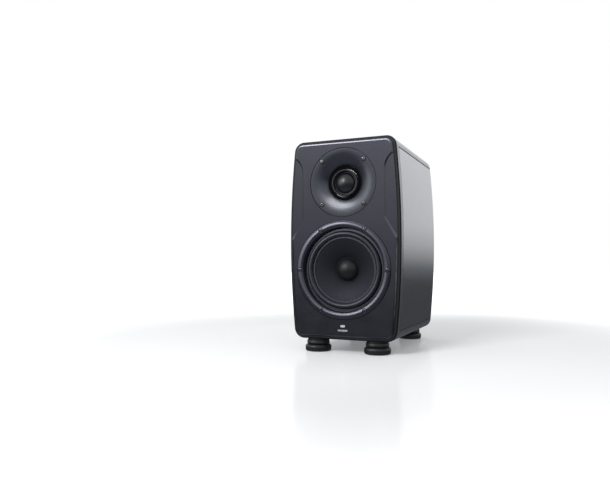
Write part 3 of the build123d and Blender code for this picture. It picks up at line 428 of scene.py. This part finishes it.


# ---------------------------------------------------------------- rings of sectors, in place of the drivers' CAD rings
def profile_normals(profile):
    """Outward normals of a closed profile of (radius, depth) points, at its points."""
    count = len(profile)
    area = sum(
        profile[i][0] * profile[(i + 1) % count][1] - profile[(i + 1) % count][0] * profile[i][1]
        for i in range(count)
    )
    sign = 1 if area > 0 else -1
    made = []
    for i in range(count):
        (r0, d0), (r1, d1) = profile[i - 1], profile[(i + 1) % count]
        along = Vector((r1 - r0, d1 - d0)).normalized()
        made.append((sign * along.y, -sign * along.x))
    return made


def sector(name, profile, origin, slot, first, turn, steps):
    """Part of a ring: a closed profile turned about a driver's axis, from a first angle through a turn."""
    flat = profile_normals(profile)
    count = len(profile)
    vertices, normals, faces = [], [], []
    for i in range(steps + 1):
        a = first + turn * i / steps
        for (r, d), (nr, nd) in zip(profile, flat):
            vertices.append(origin + Vector((r * cos(a), d, r * sin(a))) * MM)
            normals.append(Vector((nr * cos(a), nd, nr * sin(a))))
    for i in range(steps):
        for j in range(count):
            k = (j + 1) % count
            faces.append((i * count + j, i * count + k, (i + 1) * count + k, (i + 1) * count + j))
    obj = mesh_object(name, vertices, faces, slot)
    face_outwards(obj)
    sample = obj.data.polygons[0]
    wanted = sum((normals[v] for v in sample.vertices), Vector())
    if sample.normal.dot(wanted) < 0:
        obj.data.flip_normals()
    obj.data.normals_split_custom_set_from_vertices([tuple(v) for v in normals])
    return obj


def flexing_ring(name, profile, origin, slot, replaced, sectors, steps):
    """A ring of equal sectors in place of a CAD ring, from a profile of (radius, depth) in millimetres."""
    turn = 2 * pi / sectors
    made = []
    for k in range(sectors):
        obj = sector(f"{name}_{k:02d}", profile, origin, slot, turn * k, turn, steps)
        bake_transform(obj)
        made.append(obj)
    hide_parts(replaced)
    return made


def arc(middle, radius, first, last, count):
    """Points along an arc of a profile, by angles in degrees. At 90 degrees it stands nearest the front."""
    made = []
    for i in range(count + 1):
        angle = radians(first + (last - first) * i / count)
        made.append((middle[0] + radius * cos(angle), middle[1] - radius * sin(angle)))
    return made


def surround_profile():
    """The woofer's half roll with its lips."""
    base, skin, middle, roll = 7.0, 0.8, 52.0, 4.3
    top = base - skin
    outside = arc((middle, top), roll, 0, 180, 28)
    inside = arc((middle, base), roll - skin, 180, 0, 22)
    outer_lip = [(62.0, base), (62.0, top), (60.0, top), (middle + roll + 0.2, top)]
    inner_lip = [(middle - roll - 0.2, top), (45.4, top), (45.2, top + 0.15), (45.2, base)]
    return [*outer_lip, *outside, *inner_lip, *inside]


def spider_profile():
    """Five waves of cloth between the coil and the basket, lower towards each end."""
    inner, first, last, outer = 12.95, 16.0, 32.6, 38.6
    level, skin, wave, steps = 37.8, 0.7, 1.4, 80
    crest = []
    for i in range(steps + 1):
        t = i / steps
        height = wave * sin(10 * pi * t) * sqrt(abs(sin(pi * t)))
        crest.append((first + (last - first) * t, level - height))
    front = [(inner, level), *crest, (outer, level)]
    return front + [(r, d + skin) for r, d in reversed(front)]


def tweeter_surround_profile():
    """The dome's narrow half roll and the flange outside it."""
    top, skin, middle, roll = 13.4, 0.4, 15.75, 1.05
    outside = arc((middle, top), roll, 0, 180, 14)
    inside = arc((middle, top + skin), roll - skin, 180, 0, 10)
    return [(20.0, top + skin), (20.0, top), *outside, (14.7, top + skin), *inside[1:]]


rolls = flexing_ring(
    "surround", surround_profile(), WOOFER, "rubber", "woofer_surround",
    sectors=36, steps=5,
)
flexing_ring(
    "spider", spider_profile(), WOOFER, "spider_cloth", "woofer_spider",
    sectors=16, steps=6,
)
flexing_ring(
    "dome_surround", tweeter_surround_profile(), TWEETER, "rubber", "tweeter_surround",
    sectors=16, steps=8,
)


# ---------------------------------------------------------------- foam lining
def foam_pad(name, place, across, along, rows, columns):
    """A closed pad: a flat back on the wall, and a front with rounded peaks and valleys, thinner at its rim.
    place() turns a place across, a place along and a depth from the wall into a point."""
    off_wall, valley, peak, pitch = 0.4 * MM, 3.0 * MM, 4.4 * MM, 11 * MM
    vertices, faces = [], []
    for front in (False, True):
        for i in range(rows + 1):
            for j in range(columns + 1):
                u = across[0] + (across[1] - across[0]) * i / rows
                v = along[0] + (along[1] - along[0]) * j / columns
                from_edge = min(i / rows, 1 - i / rows, j / columns, 1 - j / columns)
                full = min(1.0, 6 * from_edge + 0.35)
                wave = 0.5 + 0.5 * sin(pi * u / pitch) * sin(pi * v / pitch)
                vertices.append(place(u, v, (valley + peak * wave) * full if front else off_wall))
    size = (rows + 1) * (columns + 1)
    for i in range(rows):
        for j in range(columns):
            a = i * (columns + 1) + j
            quad = (a, a + 1, a + columns + 2, a + columns + 1)
            faces.append(quad)
            faces.append(tuple(size + corner for corner in reversed(quad)))
    rim = list(range(columns + 1))
    rim += [i * (columns + 1) + columns for i in range(1, rows + 1)]
    rim += [rows * (columns + 1) + j for j in range(columns - 1, -1, -1)]
    rim += [i * (columns + 1) for i in range(rows - 1, 0, -1)]
    for a, b in zip(rim, rim[1:] + rim[:1]):
        faces.append((a, size + a, size + b, b))
    pad = mesh_object(name, vertices, faces, "foam")
    face_outwards(pad)
    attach(pad, "speaker")
    return pad


def foam_lining():
    """A pad on each side wall and one under the top, in place of the plain CAD lining."""
    low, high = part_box("foam_lining")
    along = (low.y, high.y)
    for side, word in ((-1, "left"), (1, "right")):
        foam_pad(
            f"foam_{word}",
            lambda z, y, depth, side=side: Vector((side * (side_x(z) - WALL - depth), y, z)),
            (low.z + 2 * MM, high.z - 16 * MM),
            along,
            rows=90,
            columns=72,
        )
    top = foam_pad(
        "foam_top",
        lambda x, y, depth: Vector((x, y, high.z - depth)),
        (-46 * MM, 46 * MM),
        along,
        rows=40,
        columns=72,
    )
    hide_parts("foam_lining")


foam_lining()


# ---------------------------------------------------------------- small fixed details
def prisms(name, outlines, low, high, slot):
    """Closed prisms in one mesh. Each outline is a loop of (x, z) corners, raised from one y to another."""
    vertices, faces = [], []
    for outline in outlines:
        first, count = len(vertices), len(outline)
        for level in (low, high):
            vertices += [(x, level, z) for x, z in outline]
        faces.append(tuple(range(first, first + count)))
        faces.append(tuple(range(first + count, first + 2 * count)))
        for i in range(count):
            j = (i + 1) % count
            faces.append((first + i, first + j, first + count + j, first + count + i))
    obj = mesh_object(name, vertices, faces, slot, smooth=False)
    face_outwards(obj)
    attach(obj, "speaker")


def bar(middle, width, height, turn=0.0):
    """Corners of a rectangle about a place (x, z), turned by an angle in degrees."""
    c, s = cos(radians(turn)), sin(radians(turn))
    corners = [(-width / 2, -height / 2), (width / 2, -height / 2)]
    corners += [(width / 2, height / 2), (-width / 2, height / 2)]
    return [(middle[0] + u * c - v * s, middle[1] + u * s + v * c) for u, v in corners]


def around(middle, radius, angle):
    """The place (x, z) at a radius from a middle, at an angle in degrees."""
    return middle[0] + radius * cos(radians(angle)), middle[1] + radius * sin(radians(angle))


def disc(middle, radius, corners=20):
    """Corners of a regular polygon: a dot with many corners, a hexagon with six."""
    return [around(middle, radius, 360 * i / corners) for i in range(corners)]


def hoop(middle, inner, outer, pieces=24):
    """A ring as four-cornered pieces, side by side."""
    made = []
    for i in range(pieces):
        a, b = 360 / pieces * i, 360 / pieces * (i + 1)
        corners = ((inner, a), (outer, a), (outer, b), (inner, b))
        made.append([around(middle, radius, angle) for radius, angle in corners])
    return made


def rear_marks():
    """White marks on the rear plate: a scale round the level knob, dots over the switches, on and off."""
    knob, rocker = centre("level_knob"), centre("power_rocker")
    ticks, sweep, scale_radius = 11, 270, 11.6 * MM
    dot, dot_gap, dot_rise = 0.45 * MM, 2.5 * MM, 4.6 * MM
    made = []
    for k in range(ticks):
        angle = 90 + sweep / 2 - sweep / (ticks - 1) * k
        made.append(bar(around((knob.x, knob.z), scale_radius, angle), 1.8 * MM, 0.45 * MM, angle))
    for name in ("bass_slider", "desk_slider", "treble_slider"):
        switch = centre(name)
        for shift in (-dot_gap, 0, dot_gap):
            made.append(disc((switch.x + shift, switch.z + dot_rise), dot))
    on_off_x, apart = rocker.x + 10.5 * MM, 5 * MM
    made.append(bar((on_off_x, rocker.z + apart), 0.5 * MM, 3.0 * MM))
    made += hoop((on_off_x, rocker.z - apart), 1.0 * MM, 1.5 * MM)
    prisms("rear_marks", made, REAR_Y, REAR_Y + 0.08 * MM, "print_white")


def painted_socket_shade():
    """Painted shade for the hexagon socket in the head of each board screw: a thin black hexagon where the
    hollow would be.
    """
    low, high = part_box("board_standoffs")
    inset, radius, depth = 2.9 * MM, 1.2 * MM, 0.04 * MM
    places = [(x, z) for x in (low.x + inset, high.x - inset) for z in (low.z + inset, high.z - inset)]
    outlines = [disc(place, radius, corners=6) for place in places]
    # painted shade: thin black hexagons on the screw heads in place of hollow sockets
    prisms("board_screw_socket_shade", outlines, high.y, high.y + depth, "groove_black")


def panel_groove(word, side):
    """Painted shade in the groove along the bottom, top and front of a side panel: near-black strips that
    darken the gap as its shadow would. Along the top, a thin lip laps the panel's edge."""
    low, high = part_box(f"side_panel_{word}")
    gap, lip, clear, thick = 0.66 * MM, 0.6 * MM, 0.02 * MM, 1.6 * MM
    proud, sunk = 0.14 * MM, -0.2 * MM
    front, rear = low.y - gap, high.y - 2.6 * MM
    strips = [
        (low.z - gap, low.z - clear, front, rear, sunk),
        (high.z - lip, high.z + gap, front, rear, proud),
    ]
    steps = 40
    rise = (high.z - low.z - 2 * lip) / steps
    for i in range(steps):
        z = low.z + lip + rise * i
        strips.append((z, z + rise, front, low.y - clear, sunk))
    vertices, faces = [], []
    for z0, z1, y0, y1, lift in strips:
        first = len(vertices)
        for z in (z0, z1):
            surface = side_x(z) + lift
            for x in (surface - thick, surface):
                vertices += [(side * x, y0, z), (side * x, y1, z)]
        for quad in ((0, 1, 3, 2), (4, 5, 7, 6), (0, 1, 5, 4), (2, 3, 7, 6), (0, 2, 6, 4), (1, 3, 7, 5)):
            faces.append(tuple(first + corner for corner in quad))
    # painted shade: the strips are near-black and dull, standing in for the shadow in the groove
    groove_shade = mesh_object(f"panel_groove_shade_{word}", vertices, faces, "groove_black", smooth=False)
    face_outwards(groove_shade)
    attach(groove_shade, "speaker")


def cap_bead():
    """The bead of glue round the foot of the dust cap."""
    low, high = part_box("woofer_dust_cap")
    radius, depth = (high.x - low.x) / 2 + 0.2 * MM, high.y - 0.3 * MM
    turns, sides, thick = 96, 10, 0.45 * MM
    vertices, faces = [], []
    for i in range(turns):
        a = 2 * pi * i / turns
        for j in range(sides):
            b = 2 * pi * j / sides
            r = radius + thick * cos(b)
            vertices.append((WOOFER.x + r * cos(a), depth + thick * sin(b), WOOFER.z + r * sin(a)))
    for i in range(turns):
        for j in range(sides):
            k, m = (i + 1) % turns, (j + 1) % sides
            faces.append((i * sides + j, i * sides + m, k * sides + m, k * sides + j))
    bead = mesh_object("dust_cap_bead", vertices, faces, "dust_cap")
    face_outwards(bead)
    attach(bead, "woofer_moving")


rear_marks()
painted_socket_shade()
panel_groove("left", -1)
panel_groove("right", 1)
cap_bead()


# ---------------------------------------------------------------- floor
def eased(n, distance, near, far, near_value, far_value):
    """A value that eases from one level to another with the distance from the speaker's middle. The near
    value is a number or another node's output."""
    fade = n.add("ShaderNodeMapRange", interpolation_type="SMOOTHSTEP")
    fade.inputs["From Min"].default_value = near
    fade.inputs["From Max"].default_value = far
    fade.inputs["To Max"].default_value = far_value
    if isinstance(near_value, bpy.types.NodeSocket):
        n.link(near_value, fade.inputs["To Min"])
    else:
        fade.inputs["To Min"].default_value = near_value
    n.link(distance, fade.inputs["Value"])
    return fade.outputs["Result"]


def paper_material():
    """White paper: it shows shadows and a faint reflection near the speaker, and is plain white far out."""
    n = Nodes("floor_paper")
    length = n.add("ShaderNodeVectorMath", operation="LENGTH")
    n.link(n.point, length.inputs[0])
    distance = length.outputs["Value"]
    glow = n.add("ShaderNodeEmission")
    white_out = eased(n, distance, near=0.30, far=1.0, near_value=0.24, far_value=1.0)
    n.link(white_out, glow.inputs["Strength"])
    paper = n.add("ShaderNodeBsdfDiffuse")
    white = n.ramp(n.noise(3.0, 1.0), (0.3, (0.495, 0.495, 0.493)), (0.7, (0.505, 0.505, 0.504)))
    n.link(white, paper.inputs["Color"])
    lit = n.add("ShaderNodeAddShader")
    n.link(glow.outputs["Emission"], lit.inputs[0])
    n.link(paper.outputs["BSDF"], lit.inputs[1])
    mirror = n.add("ShaderNodeBsdfGlossy")
    mirror.inputs["Roughness"].default_value = 0.18
    rising = eased(n, distance, near=0.28, far=0.46, near_value=0.23, far_value=0.34)
    share = eased(n, distance, near=0.52, far=0.85, near_value=rising, far_value=0.0)
    mix = n.add("ShaderNodeMixShader")
    n.link(share, mix.inputs["Fac"])
    n.link(lit.outputs["Shader"], mix.inputs[1])
    n.link(mirror.outputs["BSDF"], mix.inputs[2])
    n.link(mix.outputs["Shader"], n.tree.nodes["Material Output"].inputs["Surface"])
    return n.material


def floor():
    """A wide sheet of paper that neither lights the speaker nor shows in its gloss."""
    half = 8.0
    mesh = bpy.data.meshes.new("floor")
    corners = [(-half, -half, 0), (half, -half, 0), (half, half, 0), (-half, half, 0)]
    mesh.from_pydata(corners, [], [(0, 1, 2, 3)])
    obj = bpy.data.objects.new("floor", mesh)
    bpy.context.scene.collection.objects.link(obj)
    obj.location.z = FLOOR_Z
    obj.data.materials.append(paper_material())
    obj.visible_glossy = False
    obj.visible_diffuse = False
    obj.visible_shadow = False
    return obj


# ---------------------------------------------------------------- world, camera, lights
def world():
    """White to the camera. To the speaker it is a studio: pale above, darkest just below the horizon, and
    grey further down. Each stop is a height, as the sine of its angle, and a level."""
    made = bpy.data.worlds.new("studio")
    bpy.context.scene.world = made
    made.use_nodes = True
    tree = made.node_tree
    stops = (
        (-0.7, 0.42), (-0.35, 0.13), (-0.15, 0.045), (-0.05, 0.045), (-0.02, 0.15),
        (0.0, 0.34), (0.03, 0.58), (0.075, 0.77), (0.2, 0.86), (0.3, 1.0),
    )
    lowest, highest = stops[0][0], stops[-1][0]
    coordinates = tree.nodes.new("ShaderNodeTexCoord")
    split = tree.nodes.new("ShaderNodeSeparateXYZ")
    tree.links.new(coordinates.outputs["Generated"], split.inputs["Vector"])
    span = tree.nodes.new("ShaderNodeMapRange")
    span.inputs["From Min"].default_value = lowest
    span.inputs["From Max"].default_value = highest
    tree.links.new(split.outputs["Z"], span.inputs["Value"])
    ramp = tree.nodes.new("ShaderNodeValToRGB")
    while len(ramp.color_ramp.elements) < len(stops):
        ramp.color_ramp.elements.new(0.5)
    for element, (height, level) in zip(ramp.color_ramp.elements, stops):
        element.position = (height - lowest) / (highest - lowest)
        cool = 0.10 if height < 0 else 0.02
        element.color = (level * (1 - cool), level, level * (1 + cool), 1)
    tree.links.new(span.outputs["Result"], ramp.inputs["Fac"])
    path = tree.nodes.new("ShaderNodeLightPath")
    mix = tree.nodes.new("ShaderNodeMix")
    mix.data_type = "RGBA"
    tree.links.new(path.outputs["Is Camera Ray"], mix.inputs["Factor"])
    tree.links.new(ramp.outputs["Color"], mix.inputs["A"])
    mix.inputs["B"].default_value = (1, 1, 1, 1)
    background = tree.nodes["Background"]
    tree.links.new(mix.outputs["Result"], background.inputs["Color"])
    background.inputs["Strength"].default_value = 1.0


def camera():
    """The camera stands in front of the speaker, to its right, and looks up a little."""
    right, away, up = 0.285575, 0.785991, 0.108193
    yaw, pitch = radians(23.644), radians(1.417)
    data = bpy.data.cameras.new("camera")
    data.lens = 34.487
    data.sensor_width = 36.0
    data.clip_start = 0.01
    obj = bpy.data.objects.new("camera", data)
    obj.location = (right, FRONT_Y - away, CABINET_LOW + up)
    forward = Vector((-sin(yaw) * cos(pitch), cos(yaw) * cos(pitch), sin(pitch)))
    obj.rotation_euler = forward.to_track_quat("-Z", "Y").to_euler()
    bpy.context.scene.collection.objects.link(obj)
    bpy.context.scene.camera = obj


def softbox(name, azimuth, elevation, distance, size, radiance, receivers):
    """A softbox that lights only the given objects, seen from the speaker's front at an azimuth and an
    elevation in degrees. Azimuth 0 is straight in front, and + is to the right."""
    a, e = radians(azimuth), radians(elevation)
    data = bpy.data.lights.new(name, "AREA")
    data.shape = "RECTANGLE"
    data.size, data.size_y = size
    data.energy = radiance * pi * size[0] * size[1]
    obj = bpy.data.objects.new(name, data)
    place = SUBJECT + distance * Vector((sin(a) * cos(e), -cos(a) * cos(e), sin(e)))
    obj.location = place
    obj.rotation_euler = (SUBJECT - place).to_track_quat("-Z", "Y").to_euler()
    bpy.context.scene.collection.objects.link(obj)
    group = bpy.data.collections.new(name + "_receivers")
    for receiver in receivers:
        group.objects.link(receiver)
    obj.light_linking.receiver_collection = group


def lights(paper_floor):
    """Softboxes, each for its own surfaces, as flags keep a studio light off what it shouldn't reach."""
    pieces = [obj for obj in bpy.context.scene.objects if obj.type == "MESH" and obj != paper_floor]
    baffle, rim, waveguide, cone = (
        nodes[name] for name in ("front_baffle", "front_rim", "tweeter_waveguide", "woofer_cone")
    )
    cabinet = [nodes[name] for name in ("cabinet_shell", "side_panel_left", "side_panel_right")]
    hoops = [nodes["woofer_trim_ring"], *rolls]
    shell = [baffle, rim, waveguide, *cabinet]
    fittings = [obj for obj in pieces if obj not in shell and obj not in hoops]
    flagged = [cone, baffle, rim]
    others = [obj for obj in pieces if obj not in flagged]
    # Azimuth and elevation in degrees, distance and size in metres, radiance, and what the box lights.
    softbox("key", -30, 29, 1.3, (0.32, 0.45), 15.0, fittings)
    softbox("hoop_key", -26, 16, 1.3, (0.4, 0.45), 15.0, hoops)
    softbox("horn", -20, 65, 1.1, (1.1, 0.9), 8.0, [waveguide])
    softbox("overhead", -25, 62, 0.8, (0.9, 0.5), 11.0, [baffle, *cabinet])
    softbox("left", -50, 15, 1.6, (0.7, 0.9), 2.2, others)
    softbox("floor_key", -17, 33, 1.5, (0.5, 0.5), 37.0, [paper_floor])


paper_floor = floor()
world()
camera()
lights(paper_floor)
bpy.context.scene.view_settings.view_transform = "Standard"
bpy.context.scene.view_settings.look = "None"
